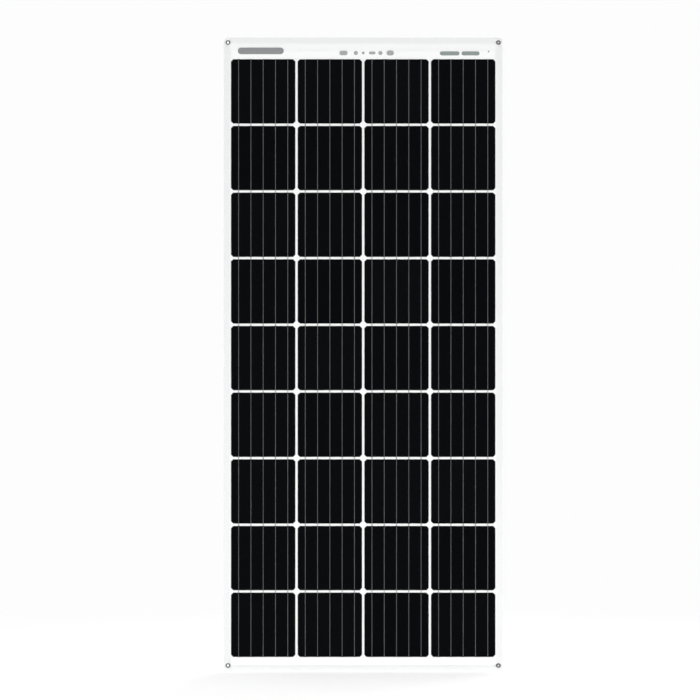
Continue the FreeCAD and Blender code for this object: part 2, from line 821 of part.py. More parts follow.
doc.recompute()
for item in doc.Objects:
    if "Invalid" in item.State or "Error" in item.State:
        raise RuntimeError(f"{item.Label} failed: {item.State}")
for part in sub_parts:
    if part.Shape.isNull() or not part.Shape.isValid():
        raise RuntimeError(f"{part.Label} has no valid shape")

os.makedirs("parts", exist_ok=True)
for part in sub_parts:
    part.Shape.exportStep(os.path.join("parts", f"{part.Label}.step"))
    print(f"{part.Label}: {len(part.Shape.Solids)} solids, {part.Shape.Volume / 1000:.2f} cm3")
print(f"{len(sub_parts)} sub-parts")
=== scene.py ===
# %% [markdown]
# # A flexible solar sheet
#
# The object is a thin laminate: clear film, clear encapsulant, silicon cells joined by tinned
# ribbons, and a white back sheet, with an eyelet in each corner and a slim junction box behind
# the top margin. The CAD model holds its sizes, bodies and joints. This lesson gives it its looks.
#
# The sheet bends in one even curve. In the CAD model that curve is nine stiff rows with a hinge
# between each two, so every layer here is made as eight spans instead, each from the middle of
# one row to the middle of the next, with one hinge inside each span.

# %% Load the frame
import math

import bmesh
import bpy
import numpy as np
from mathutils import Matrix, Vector


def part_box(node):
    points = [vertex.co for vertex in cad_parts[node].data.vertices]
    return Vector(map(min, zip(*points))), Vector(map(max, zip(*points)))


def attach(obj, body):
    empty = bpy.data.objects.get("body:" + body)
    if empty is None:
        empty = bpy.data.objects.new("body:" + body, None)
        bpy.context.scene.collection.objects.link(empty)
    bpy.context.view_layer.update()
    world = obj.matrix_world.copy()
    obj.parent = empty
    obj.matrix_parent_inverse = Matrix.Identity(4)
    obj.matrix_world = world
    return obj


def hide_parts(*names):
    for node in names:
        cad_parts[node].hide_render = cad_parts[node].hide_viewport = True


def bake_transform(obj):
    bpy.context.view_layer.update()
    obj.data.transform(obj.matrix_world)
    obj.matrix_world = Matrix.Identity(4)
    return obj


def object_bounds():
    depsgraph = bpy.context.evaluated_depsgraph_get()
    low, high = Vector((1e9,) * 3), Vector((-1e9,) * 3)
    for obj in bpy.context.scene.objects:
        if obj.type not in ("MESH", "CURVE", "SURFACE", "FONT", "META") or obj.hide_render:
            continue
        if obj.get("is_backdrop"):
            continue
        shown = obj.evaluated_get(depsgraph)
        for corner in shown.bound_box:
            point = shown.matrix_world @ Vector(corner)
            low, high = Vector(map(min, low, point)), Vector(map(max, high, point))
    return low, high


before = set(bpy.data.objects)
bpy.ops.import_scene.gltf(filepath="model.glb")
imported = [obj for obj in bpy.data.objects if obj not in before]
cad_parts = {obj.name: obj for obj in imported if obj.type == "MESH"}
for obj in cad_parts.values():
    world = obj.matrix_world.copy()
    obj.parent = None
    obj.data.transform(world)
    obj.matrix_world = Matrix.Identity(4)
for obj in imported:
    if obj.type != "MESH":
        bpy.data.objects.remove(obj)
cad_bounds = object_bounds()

MM = 0.001

# %% [markdown]
# ## Measuring the frame
#
# All places come from the boxes of the CAD nodes, so that the looks follow the design. X runs
# across the sheet, Z up along it, and the cells face -Y. The back face lies in the plane y = 0.

# %% Rows, columns and outline
ROWS = sum(name.startswith("cells_row_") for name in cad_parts)
cell_boxes = [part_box(f"cells_row_{row + 1}") for row in range(ROWS)]
row_middles = [(low.z + high.z) / 2 for low, high in cell_boxes]
PITCH = row_middles[0] - row_middles[1]
HALF_CELL = (cell_boxes[0][1].z - cell_boxes[0][0].z) / 2
COLUMNS = round(2 * cell_boxes[0][1].x / PITCH)
column_middles = [(column - (COLUMNS - 1) / 2) * PITCH for column in range(COLUMNS)]

top_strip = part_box("back_sheet_row_1")
HALF_WIDTH = top_strip[1].x
TOP = top_strip[1].z
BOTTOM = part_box(f"back_sheet_row_{ROWS}")[0].z
CORNER_RADIUS = 10 * MM
print(f"{ROWS} rows and {COLUMNS} columns, one every {PITCH / MM:.2f} mm")
print(f"sheet {2 * HALF_WIDTH / MM:.0f} x {(TOP - BOTTOM) / MM:.1f} mm")

# %% Depths of the layers
# A hair of air is left between the clear layers, so that no two faces share a plane.
AIR = 0.03 * MM
BACK_SHEET_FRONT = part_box("back_sheet_row_1")[0].y
FILM_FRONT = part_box("front_film_row_1")[0].y
COVER_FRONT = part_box("bus_cover_top")[0].y
WAFER_FRONT, WAFER_BACK = cell_boxes[0][0].y, cell_boxes[0][1].y
RIBBON_FRONT, RIBBON_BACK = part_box("ribbons_row_2")[0].y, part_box("ribbons_row_2")[1].y

INK_BACK = COVER_FRONT - AIR
INK_FRONT = INK_BACK - AIR
FILM_BACK = INK_FRONT - AIR
ENCAPSULANT_FRONT = INK_BACK + AIR / 2
ENCAPSULANT_BACK = BACK_SHEET_FRONT - AIR
print("film", [round(y / MM, 3) for y in (FILM_FRONT, FILM_BACK)], "mm deep")

# %% [markdown]
# ## Spans
#
# A span runs from one row's middle to the next, because there the sheet turns with its own row,
# and two neighbouring spans meet edge to edge. The first span also takes in the
# top margin and the last one the bottom margin. Cross-sections lie every few millimetres along a
# span.

# %% The eight spans
SECTION_STEP = 6.5 * MM
CLOSEST_SECTIONS = 0.02 * MM
spans = []
for upper in range(ROWS - 1):
    lower = upper + 1
    spans.append({
        "number": lower,
        "bodies": (f"row_{upper + 1}", f"row_{lower + 1}"),
        "middles": (row_middles[upper], row_middles[lower]),
        "ends": (TOP if upper == 0 else row_middles[upper],
                 BOTTOM if lower == ROWS - 1 else row_middles[lower]),
        "rows": [upper, lower],
    })


def levels(high, low, extra=()):
    """Heights from high down to low, evenly spaced, with the extra ones that lie between."""
    count = max(2, math.ceil((high - low) / SECTION_STEP) + 1)
    inside = [z for z in extra if low < z < high]
    merged = np.sort(np.concatenate([np.linspace(low, high, count), inside]))
    apart = np.concatenate([[True], np.diff(merged) > CLOSEST_SECTIONS])
    return merged[apart][::-1]


def bend_with(piece):
    """Bakes the piece's placement into its mesh, and nothing more."""
    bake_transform(piece)


print(len(spans), "spans of", len(levels(*spans[1]["ends"])), "sections or more")

# %% [markdown]
# ## One surface for every flat piece
#
# Film, cells, ribbons and sheet are all thin slabs. Each is two height fields over the same grid,
# y = front(x, z) and y = back(x, z), stitched along their rims. The grid's rows are level lines,
# and its columns keep a fixed distance from the outline, so the outline stays smooth round the
# corners. This is easier to bend evenly than a box that is cut and bevelled.

# %% Slab
FRONT, BACK, SIDE, UPPER_END, LOWER_END = range(5)


def slab(heights, half_width, front, back, insets=(0.0,), centre=0.0):
    """Points, faces and a tag per face of one closed slab.

    x = centre -/+ (half_width(z) - inset), y = front(x, z) on one side and back(x, z) on the
    other. heights run downwards, and insets are distances inwards from the outline.
    """
    insets = np.asarray(insets, float)
    reach = half_width(heights)[:, None] - insets[None, :]
    x = centre + np.concatenate([-reach, reach[:, ::-1]], axis=1)
    z = np.repeat(heights[:, None], x.shape[1], axis=1)
    points = np.concatenate([np.stack([x, field(x, z), z], -1).reshape(-1, 3)
                             for field in (front, back)])
    ahead = np.arange(x.size).reshape(x.shape)
    behind = ahead + x.size

    def strip(a, b, c, d):
        return np.stack([a, b, c, d], -1).reshape(-1, 4)

    parts = [
        (FRONT, strip(ahead[:-1, :-1], ahead[1:, :-1], ahead[1:, 1:], ahead[:-1, 1:])),
        (BACK, strip(behind[:-1, :-1], behind[:-1, 1:], behind[1:, 1:], behind[1:, :-1])),
        (SIDE, strip(ahead[:-1, 0], behind[:-1, 0], behind[1:, 0], ahead[1:, 0])),
        (SIDE, strip(ahead[:-1, -1], ahead[1:, -1], behind[1:, -1], behind[:-1, -1])),
        (UPPER_END, strip(ahead[0, :-1], ahead[0, 1:], behind[0, 1:], behind[0, :-1])),
        (LOWER_END, strip(ahead[-1, :-1], behind[-1, :-1], behind[-1, 1:], ahead[-1, 1:])),
    ]
    faces = np.concatenate([quads for _, quads in parts])
    tags = np.concatenate([np.full(len(quads), tag) for tag, quads in parts])
    return points, faces, tags


def flat(y):
    """The height field of a plane that faces -Y or +Y."""
    return lambda x, z: np.full_like(x, y)


# %% Putting arrays into meshes
UV_MAP = "sheet_position"
SHARP = math.radians(40)


def add_object(name, data):
    """A new object in the scene that shows the given mesh, light or camera."""
    added = bpy.data.objects.new(name, data)
    bpy.context.scene.collection.objects.link(added)
    return added


def gather(shapes):
    """Several closed shapes as one set of arrays."""
    offsets = np.cumsum([0] + [len(points) for points, _, _ in shapes[:-1]])
    return (
        np.concatenate([points for points, _, _ in shapes]),
        np.concatenate([faces + offset for (_, faces, _), offset in zip(shapes, offsets)]),
        np.concatenate([tags for _, _, tags in shapes]),
    )


def make_piece(name, shape, materials, finish_of=None):
    """An object from arrays, with a UV map that holds each point's x and z in metres.

    finish_of gives the index of the material for each of the five face tags.
    """
    points, faces, tags = shape
    mesh = bpy.data.meshes.new(name)
    mesh.from_pydata(points, [], faces)
    for material in materials:
        mesh.materials.append(material)
    if finish_of:
        mesh.polygons.foreach_set("material_index", np.asarray(finish_of)[tags].astype(np.int32))
    corners = np.empty(len(mesh.loops), np.int32)
    mesh.loops.foreach_get("vertex_index", corners)
    flat_map = mesh.uv_layers.new(name=UV_MAP)
    flat_map.uv.foreach_set("vector", points[corners][:, [0, 2]].astype(np.float32).ravel())
    mesh.shade_smooth()
    mesh.set_sharp_from_angle(angle=SHARP)
    return add_object(name, mesh)


print("slab, gather and make_piece are ready")

# %% [markdown]
# ## The outline of the sheet
#
# The corners of such a sheet are rounded, so that they can't stab a sail or a roof. The same
# rounded rectangle later gives the label and the print. The distance from a point to the outline
# drives the rounded rim, and the pressed band that the laminator leaves along the rim.

# %% Outline, rim and pressed band
HALF_HEIGHT = (TOP - BOTTOM) / 2
MIDDLE = (TOP + BOTTOM) / 2
RIM_BAND = 15 * MM
RIM_PRESS = 0.06 * MM
PRESS_SLOPE = 0.8 * MM
BACK_SHEET_EDGE = 0.3 * MM
FILM_EDGE = 0.05 * MM


def rounded_rectangle(middle, half_width, half_height, radius):
    """Half the width as a function of z: full, less the corner's arc near the two ends."""
    def half_width_at(z):
        into_corner = np.clip(np.abs(z - middle) - (half_height - radius), 0, radius)
        return half_width - radius + np.sqrt(radius ** 2 - into_corner ** 2)

    return half_width_at


def edge_distance(x, z):
    """How far inside the rounded rectangle a point lies: radius less the distance past it."""
    past_x = np.abs(x) - (HALF_WIDTH - CORNER_RADIUS)
    past_z = np.abs(z - MIDDLE) - (HALF_HEIGHT - CORNER_RADIUS)
    outside = np.hypot(np.maximum(past_x, 0), np.maximum(past_z, 0))
    return CORNER_RADIUS - outside - np.minimum(np.maximum(past_x, past_z), 0)


def rounding(distance, radius):
    """How far a rounded edge falls back: a quarter circle over the last radius of the face."""
    short = np.clip(1 - distance / radius, 0, 1)
    return radius * (1 - np.sqrt(1 - short ** 2))


def pressing(distance):
    """The step down into the pressed band, a smooth step over PRESS_SLOPE."""
    share = np.clip((RIM_BAND - distance) / PRESS_SLOPE + 0.5, 0, 1)
    return RIM_PRESS * share ** 2 * (3 - 2 * share)


def film_front(x, z):
    """The film's face: its depth, plus the step into the band, plus the rounded rim."""
    distance = edge_distance(x, z)
    return FILM_FRONT + pressing(distance) + rounding(distance, FILM_EDGE)


def back_sheet_front(x, z):
    """The back sheet's inner face: its depth plus the rounded rim."""
    return BACK_SHEET_FRONT + rounding(edge_distance(x, z), BACK_SHEET_EDGE)


def back_sheet_back(x, z):
    """The back sheet's outer face: the plane y = 0 less the rounded rim."""
    return -rounding(edge_distance(x, z), BACK_SHEET_EDGE)


sheet_half_width = rounded_rectangle(MIDDLE, HALF_WIDTH, HALF_HEIGHT, CORNER_RADIUS)
corner_turns = np.radians(np.arange(0, 91, 10))
corner_levels = CORNER_RADIUS * (1 - np.cos(corner_turns))
rounded_edge = BACK_SHEET_EDGE * np.array([0.1, 0.3, 0.6, 1.0])
press_levels = RIM_BAND + PRESS_SLOPE * np.array([-0.5, -0.25, 0, 0.25, 0.5])
rim_levels = np.unique(np.round(np.concatenate([corner_levels, rounded_edge, press_levels]), 7))
rim_insets = np.unique(np.round(np.concatenate([[0], rounded_edge, press_levels]), 7))
outline_levels = np.concatenate([TOP - rim_levels, BOTTOM + rim_levels])
print(f"pressed band {RIM_BAND / MM:.0f} mm wide, rim levels: {len(rim_levels)}")

# %% [markdown]
# ## Colours and nodes
#
# Colours are written as sRGB hex values, and one function turns them to the linear values that a
# shader needs. One helper adds a node with its settings and links. Hardly any surface is of one
# even tone, so a second helper mixes two tones with soft noise. Patterns on the laminate read the
# UV map of sheet positions, so they stay on the surface when it bends. Patterns on the box and the
# metal parts read Object coordinates, which are metres too.

# %% Helpers for materials


def linear(hex_colour, alpha=1.0):
    """sRGB hex to linear: c / 12.92 near black, ((c + 0.055) / 1.055) ** 2.4 above."""
    channels = [int(hex_colour[i:i + 2], 16) / 255 for i in (1, 3, 5)]
    return (*[c / 12.92 if c <= 0.04045 else ((c + 0.055) / 1.055) ** 2.4 for c in channels], alpha)


def node(owner, kind, inputs=None, **settings):
    """Adds one shader node to a material or a world.

    inputs maps a socket's name or number to a value, to another socket, or to a whole node,
    which then gives the first output that it has in use.
    """
    added = owner.node_tree.nodes.new(f"ShaderNode{kind}")
    for name, setting in settings.items():
        setattr(added, name, setting)
    for socket, source in (inputs or {}).items():
        if isinstance(source, bpy.types.Node):
            source = next(output for output in source.outputs if output.enabled)
        if isinstance(source, bpy.types.NodeSocket):
            owner.node_tree.links.new(source, added.inputs[socket])
        else:
            added.inputs[socket].default_value = source
    return added


def new_material(name):
    """An empty node material."""
    material = bpy.data.materials.new(name)
    material.use_nodes = True
    material.node_tree.nodes.clear()
    return material


def surface(material, kind, inputs=None):
    """Adds a material's last shader and joins it to the output."""
    shader = node(material, kind, inputs)
    node(material, "OutputMaterial", {"Surface": shader})
    return material


def per_mm(size):
    """The scale of a texture whose features are size millimetres across, on metres."""
    return 1 / (size * MM)


def mottled(material, place, size, first, second, detail=4.0):
    """Two colours mixed by soft noise, whose clouds are size millimetres across."""
    clouds = node(material, "TexNoise", {"Vector": place, "Scale": per_mm(size), "Detail": detail})
    return node(material, "Mix", {0: clouds, 6: linear(first), 7: linear(second)},
                data_type="RGBA")


print("white is", [round(c, 3) for c in linear("#FFFFFF")])

# %% [markdown]
# ## Clear film and encapsulant
#
# The front is an ETFE film, pressed against a dimpled sheet while hot, which breaks up glare. It
# is clear, so what the eye gets from it is a weak gloss that Fresnel's law rules: about 3% head-on
# and much more at a low angle. Only the film's front face carries that gloss. Its back face and
# the encapsulant behind it are bonded, and a bond between two clear plastics doesn't shine.
# Where the laminate is cut, the plastic looks milky.

# %% Film, clear plastic and cut edge
ETFE_IOR = 1.40
DIMPLE_SPACING = 1.8  # millimetres, as on an embossed film
CUT_MILKINESS = 0.7


def make_etfe_film():
    material = new_material("embossed_etfe_film")
    place = node(material, "UVMap", uv_map=UV_MAP)
    dimples = node(material, "TexVoronoi",
                   {"Vector": place, "Scale": per_mm(DIMPLE_SPACING), "Randomness": 1.0},
                   feature="SMOOTH_F1", voronoi_dimensions="2D")
    haze = node(material, "TexNoise", {"Vector": place, "Scale": per_mm(60), "Detail": 3.0})
    gloss_range = node(material, "MapRange", {"Value": haze, "To Min": 0.20, "To Max": 0.27})
    relief = node(material, "Bump", {"Height": dimples, "Strength": 0.6, "Distance": 0.06 * MM})
    fresnel = node(material, "Fresnel", {"IOR": ETFE_IOR, "Normal": relief})
    clear = node(material, "BsdfTransparent")
    gloss = node(material, "BsdfGlossy", {"Roughness": gloss_range, "Normal": relief})
    return surface(material, "MixShader", {0: fresnel, 1: clear, 2: gloss})


def make_clear_plastic():
    material = new_material("bonded_clear_plastic")
    return surface(material, "BsdfTransparent")


def make_cut_edge():
    material = new_material("milky_cut_edge")
    place = node(material, "TexCoord").outputs["Object"]
    saw_marks = node(material, "TexNoise", {"Vector": place, "Scale": per_mm(1.5), "Detail": 4.0})
    relief = node(material, "Bump", {"Height": saw_marks, "Strength": 0.4, "Distance": 0.05 * MM})
    clear = node(material, "BsdfTransparent")
    milk = node(material, "BsdfPrincipled",
                {"Base Color": linear("#E3E7E6"), "Roughness": 0.45, "IOR": 1.48,
                 "Normal": relief})
    return surface(material, "MixShader", {0: CUT_MILKINESS, 1: clear, 2: milk})


etfe_film = make_etfe_film()
clear_plastic = make_clear_plastic()
cut_edge = make_cut_edge()
print("clear finishes:", etfe_film.name, clear_plastic.name, cut_edge.name)

# %% [markdown]
# ## White back sheet
#
# The back sheet is a white polyester and glass-fibre laminate, matt, with a faint grain from the
# press cloth. Along the rim it is painted a trifle greyer, as painted shade for the sheet's edge,
# which draws a soft band round the whole sheet. The band is worked out from the distance to the
# nearest edge.

# %% Back sheet and cover strip
GRAIN = 7.54  # millimetres between threads: real press cloth has 1, drawn coarser to show
WAVES_PER_UNIT = 20 / (2 * math.pi)  # of a Wave texture at scale 1
RIM_FADE = 7 * MM


def depth_inside(material, place, middle, half):
    """How far inside a rectangle a point lies: the smaller part of half - |place - middle|."""
    centred = node(material, "VectorMath", {0: place, 1: (*middle, 0)}, operation="SUBTRACT")
    folded = node(material, "VectorMath", {0: centred}, operation="ABSOLUTE")
    inner = node(material, "VectorMath", {0: (*half, 0), 1: folded}, operation="SUBTRACT")
    sides = node(material, "SeparateXYZ", {0: inner})
    return node(material, "Math", {0: sides.outputs[0], 1: sides.outputs[1]}, operation="MINIMUM")


def make_white_laminate():
    material = new_material("white_polyester_laminate")
    place = node(material, "UVMap", uv_map=UV_MAP)
    white = mottled(material, place, 90, "#FBFBFB", "#F7F8F8")
    depth = depth_inside(material, place, (0, MIDDLE), (HALF_WIDTH, HALF_HEIGHT))
    # Painted shade: the white is made a little greyer in a band along the rim, where the sheet's
    # edge is shaded.
    rim_shade_mask = node(material, "MapRange", {"Value": depth, "From Min": RIM_BAND + RIM_FADE / 2,
                                       "From Max": RIM_BAND - RIM_FADE / 2})
    rim_shaded_white = node(material, "Mix", {0: rim_shade_mask, 6: white, 7: linear("#EEEFEF")}, data_type="RGBA")
    warp, weft = [node(material, "TexWave",
                       {"Vector": place, "Scale": per_mm(GRAIN) / WAVES_PER_UNIT,
                        "Distortion": 0.4, "Detail Scale": 2.0}, bands_direction=across)
                  for across in ("X", "Y")]
    cloth = node(material, "Math", {0: warp.outputs["Fac"], 1: weft.outputs["Fac"]},
                 operation="MULTIPLY")
    relief = node(material, "Bump", {"Height": cloth, "Strength": 0.35, "Distance": 0.03 * MM})
    return surface(material, "BsdfPrincipled",
                   {"Base Color": rim_shaded_white, "Roughness": 0.55, "IOR": 1.5,
                    "Normal": relief})


def make_cover_strip():
    material = new_material("white_polyester_strip")
    place = node(material, "TexCoord").outputs["Object"]
    white = mottled(material, place, 4, "#FDFDFD", "#F8F9F9", detail=5.0)
    return surface(material, "BsdfPrincipled",
                   {"Base Color": white, "Roughness": 0.6, "IOR": 1.5})


white_laminate = make_white_laminate()
cover_strip = make_cover_strip()
print("white finishes:", white_laminate.name, cover_strip.name)

# %% [markdown]
# ## Silicon cells
#
# A cell is a slice of a round silicon ingot, cut square so that only its corners keep the round.
# Acid texture and a coat of silicon nitride make it nearly black with a breath of blue. Silver
# lines as thin as a hair, the fingers, run across it and carry the current to the ribbons.
# Neighbouring cells never match exactly, so each one gets a slightly different tone.

# %% Cell material
FINGER_SPACING = 1.6  # millimetres
FINGER_WIDTH = 0.12  # millimetres, twice the real width, so that a close view still shows them


def make_silicon():
    material = new_material("nitride_coated_silicon")
    place = node(material, "UVMap", uv_map=UV_MAP)
    cells = node(material, "VectorMath",
                 {0: place, 1: (-COLUMNS / 2 * PITCH, row_middles[0] + PITCH / 2, 0)},
                 operation="SUBTRACT")
    counted = node(material, "VectorMath", {0: cells, 1: (PITCH, PITCH, 1)}, operation="DIVIDE")
    whole = node(material, "VectorMath", {0: counted}, operation="FLOOR")
    chance = node(material, "TexWhiteNoise", {"Vector": whole}, noise_dimensions="2D")
    wafer = node(material, "Mix",
                 {0: chance, 6: linear("#050609"), 7: linear("#08090C")},
                 data_type="RGBA")
    xz = node(material, "SeparateXYZ", {0: place})
    counted_fingers = node(material, "Math", {0: xz.outputs[1], 1: per_mm(FINGER_SPACING)},
                           operation="MULTIPLY")
    between = node(material, "Math", {0: counted_fingers}, operation="FRACT")
    finger = node(material, "Math",
                  {0: between, 1: FINGER_WIDTH / FINGER_SPACING}, operation="LESS_THAN")
    tone = node(material, "Mix", {0: finger, 6: wafer, 7: linear("#191A1D")}, data_type="RGBA")
    texture = node(material, "TexNoise", {"Vector": place, "Scale": per_mm(0.8), "Detail": 3.0})
    relief = node(material, "Bump", {"Height": texture, "Strength": 0.3, "Distance": 0.01 * MM})
    return surface(material, "BsdfPrincipled",
                   {"Base Color": tone, "Roughness": 0.5,
                    "Specular IOR Level": 0.03, "Normal": relief})


silicon = make_silicon()
print("cell finish:", silicon.name)

# %% [markdown]
# ## Ribbons and metal
#
# The ribbons are copper strip dipped in tin: satin, with fine drawing marks along their length.
# Solder and its oxide scatter some light, so the tin is not wholly metal. The eyelets are
# nickel-plated brass, brighter and a little warm, and show mostly what they mirror.

# %% Metal materials


def make_tinned_copper():
    material = new_material("tinned_copper_strip")
    place = node(material, "TexCoord").outputs["Object"]
    stretch = node(material, "Mapping", {"Vector": place, "Scale": (1, 1, 0.04)})
    marks = node(material, "TexNoise", {"Vector": stretch, "Scale": per_mm(0.3), "Detail": 3.0})
    satin = node(material, "MapRange", {"Value": marks, "To Min": 0.28, "To Max": 0.42})
    relief = node(material, "Bump", {"Height": marks, "Strength": 0.3, "Distance": 0.01 * MM})
    return surface(material, "BsdfPrincipled",
                   {"Base Color": linear("#C9CBCC"), "Metallic": 0.85,
                    "Roughness": satin, "Normal": relief})


def make_nickel_plating():
    material = new_material("nickel_plated_brass")
    place = node(material, "TexCoord").outputs["Object"]
    handling = node(material, "TexNoise", {"Vector": place, "Scale": per_mm(2.5), "Detail": 5.0})
    wear = node(material, "MapRange", {"Value": handling, "To Min": 0.16, "To Max": 0.32})
    tone = node(material, "Mix",
                {0: handling, 6: linear("#D9D6CF"), 7: linear("#CBC7BE")},
                data_type="RGBA")
    return surface(material, "BsdfPrincipled",
                   {"Base Color": tone, "Metallic": 1.0,
                    "Roughness": wear})


tinned_copper = make_tinned_copper()
nickel_plating = make_nickel_plating()
print("metals:", tinned_copper.name, nickel_plating.name)

# %% [markdown]
# ## The laminate, span by span
#
# Each layer of a span is one object that stands for the CAD strips it covers. The tags that slab
# gave to the faces pick the finish: gloss on the film's front, milky plastic where the laminate
# is cut, and nothing at all on the inner ends, where two spans meet. The clear layers let all
# light through to the cells and the white sheet, so they are left out of shadows: a renderer
# follows only so many clear faces in a row before it gives up and draws black.

# %% Film, encapsulant and back sheet
FRONT_FINISH, CLEAR_FINISH, CUT_FINISH = range(3)
layer_pieces = []


def stands_for(layer, span):
    """Hides the layer's CAD strip in the span's upper row, and the last span's lower one too."""
    rows_covered = [span["rows"][0]] + ([ROWS - 1] if span["rows"][1] == ROWS - 1 else [])
    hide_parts(*[f"{layer}_row_{row + 1}" for row in rows_covered])


def clear_layer(name, span, front, back, front_material):
    """A see-through layer: its own finish in front, clear behind, milky at the outer rim."""
    shape = slab(levels(*span["ends"], outline_levels), sheet_half_width, front, back, rim_insets)
    upper_end = CUT_FINISH if span["ends"][0] == TOP else CLEAR_FINISH
    lower_end = CUT_FINISH if span["ends"][1] == BOTTOM else CLEAR_FINISH
    layer = make_piece(name, shape, [front_material, clear_plastic, cut_edge],
                       [FRONT_FINISH, CLEAR_FINISH, CUT_FINISH, upper_end, lower_end])
    layer.visible_shadow = False
    layer.visible_diffuse = False
    return layer


for span in spans:
    film = clear_layer(f"clear_film_{span['number']}", span, film_front, flat(FILM_BACK), etfe_film)
    filling = clear_layer(f"encapsulant_{span['number']}", span, flat(ENCAPSULANT_FRONT),
                          flat(ENCAPSULANT_BACK), clear_plastic)
    sheet_shape = slab(levels(*span["ends"], outline_levels), sheet_half_width,
                       back_sheet_front, back_sheet_back, rim_insets)
    sheet = make_piece(f"back_sheet_{span['number']}", sheet_shape, [white_laminate])
    for piece, layer, slot in ((film, "front_film", "clear_film"),
                               (filling, "encapsulant", "clear_encapsulant"),
                               (sheet, "back_sheet", "white_back_sheet")):
        stands_for(layer, span)
        layer_pieces.append((piece, span))
print(len(layer_pieces), "layer pieces,", len(film.data.polygons), "faces in the last film")

# %% [markdown]
# ### Eyelet holes
#
# The holes are punched through all layers after laminating. A Boolean modifier with a plain
# cylinder does the same here, only in the two spans that have eyelets, and its result is kept as
# the mesh.

# %% Punch the holes
EYELET_SIDES = 48
EYELET_BORE, EYELET_TUBE, EYELET_FLANGE = 3.0 * MM, 3.3 * MM, 5.5 * MM  # radii
top_eyelets, bottom_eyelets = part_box("top_eyelets"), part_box("bottom_eyelets")
EYELET_X = top_eyelets[1].x - EYELET_FLANGE
EYELET_Z = [(low.z + high.z) / 2 for low, high in (top_eyelets, bottom_eyelets)]


def around(profile, centre):
    """A closed profile of (radius, y) points carried once round an axis along Y.

    x = cx + r cos a, y = y, z = cz + r sin a, with a quad between each two points and turns.
    """
    profile = np.asarray(profile, float)
    turn = np.linspace(0, 2 * np.pi, EYELET_SIDES, endpoint=False)[:, None]
    x = centre[0] + profile[:, 0] * np.cos(turn)
    z = centre[1] + profile[:, 0] * np.sin(turn)
    y = np.broadcast_to(profile[:, 1], x.shape)
    points = np.stack([x, y, z], -1).reshape(-1, 3)
    index = np.arange(x.size).reshape(x.shape)
    after, beside = np.roll(index, -1, axis=0), np.roll(index, -1, axis=1)
    both = np.roll(after, -1, axis=1)
    faces = np.stack([index, beside, both, after], -1).reshape(-1, 4)
    return points, faces, np.zeros(len(faces), int)


def punch(piece, centres, radius):
    """Cuts a round hole along Y through the piece at each (x, z) centre."""
    deep = 10 * MM
    cutter_mesh = bpy.data.meshes.new("punch")
    work = bmesh.new()
    for x, z in centres:
        made = bmesh.ops.create_cone(work, cap_ends=True, segments=EYELET_SIDES, radius1=radius,
                                     radius2=radius, depth=2 * deep)["verts"]
        points = np.array([vertex.co for vertex in made])[:, [0, 2, 1]] + (x, 0, z)
        for vertex, point in zip(made, points):
            vertex.co = point
    bmesh.ops.recalc_face_normals(work, faces=work.faces)
    work.to_mesh(cutter_mesh)
    work.free()
    cutter = add_object("punch", cutter_mesh)
    hole = piece.modifiers.new("eyelet_holes", "BOOLEAN")
    hole.object = cutter
    hole.operation = "DIFFERENCE"
    hole.solver = "EXACT"
    bpy.context.view_layer.update()
    evaluated = piece.evaluated_get(bpy.context.evaluated_depsgraph_get())
    punched = bpy.data.meshes.new_from_object(evaluated)
    piece.modifiers.clear()
    piece.data = punched
    bpy.data.objects.remove(cutter)
    return len(punched.polygons)


for piece, span in layer_pieces:
    for end, height in ((0, EYELET_Z[0]), (len(spans) - 1, EYELET_Z[1])):
        if span is spans[end]:
            faces = punch(piece, [(-EYELET_X, height), (EYELET_X, height)], EYELET_TUBE)
            print(piece.name, "punched,", faces, "faces")
    bend_with(piece)

# %% [markdown]
# ### Eyelets
#
# An eyelet is a flanged tube pushed through from the front and rolled over a washer at the back.
# Its section is drawn once as a closed line with rounded shoulders and carried round the hole.

# %% Eyelet sections
FLANGE_TOP = top_eyelets[0].y
CURL_TOP = top_eyelets[1].y
WASHER_TOP = 0.6 * MM
CURL_RADIUS = 4.2 * MM


def arc(centre, radii, start, end, count=7):
    """Points on an ellipse's arc round centre, from start to end degrees."""
    turn = np.radians(np.linspace(start, end, count))
    return np.stack([centre[0] + radii[0] * np.cos(turn), centre[1] + radii[1] * np.sin(turn)], -1)


def barrel_section():
    """Flange, tube and rolled rim: bore, front shoulder, flange edge, tube, curl."""
    shoulder = 0.45 * MM
    lip = 0.55 * MM
    roll = (CURL_TOP - WASHER_TOP) / 2
    return np.concatenate([
        arc((EYELET_BORE + shoulder, FLANGE_TOP + shoulder), (shoulder, shoulder), 180, 270),
        arc((EYELET_FLANGE - lip, FLANGE_TOP + lip), (lip, lip), 270, 360),
        [(EYELET_FLANGE, FILM_FRONT), (EYELET_TUBE, FILM_FRONT), (EYELET_TUBE, WASHER_TOP)],
        arc((CURL_RADIUS - roll, WASHER_TOP + roll), (roll, roll), -90, 90),
        arc((EYELET_BORE + roll, CURL_TOP - roll), (roll, roll), 90, 180),
    ])


def washer_section():
    """A flat ring with rounded edges."""
    soft = 0.15 * MM
    inner, outer, top = EYELET_TUBE + soft, EYELET_FLANGE - soft, WASHER_TOP - soft
    corners = (inner, soft, 180), (outer, soft, 270), (outer, top, 360), (inner, top, 450)
    return np.concatenate([arc((r, y), (soft, soft), turn, turn + 90, 4) for r, y, turn in corners])


for name, height, body in (("top_eyelets", EYELET_Z[0], "row_1"),
                           ("bottom_eyelets", EYELET_Z[1], f"row_{ROWS}")):
    rings = [around(section, (side * EYELET_X, height))
             for side in (-1, 1) for section in (barrel_section(), washer_section())]
    eyelets = make_piece(f"{name}_plated", gather(rings), [nickel_plating])
    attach(eyelets, body)
    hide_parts(name)
    print(eyelets.name, "with", len(rings), "rings")

# %% [markdown]
# ### Cells
#
# The CAD model clips each cell's corners straight. The real clip is the ingot's own round, so a
# cell's half-width is the smaller of half its side and the ingot's circle at that height. A span
# holds the lower halves of one row of cells and the upper halves of the next.

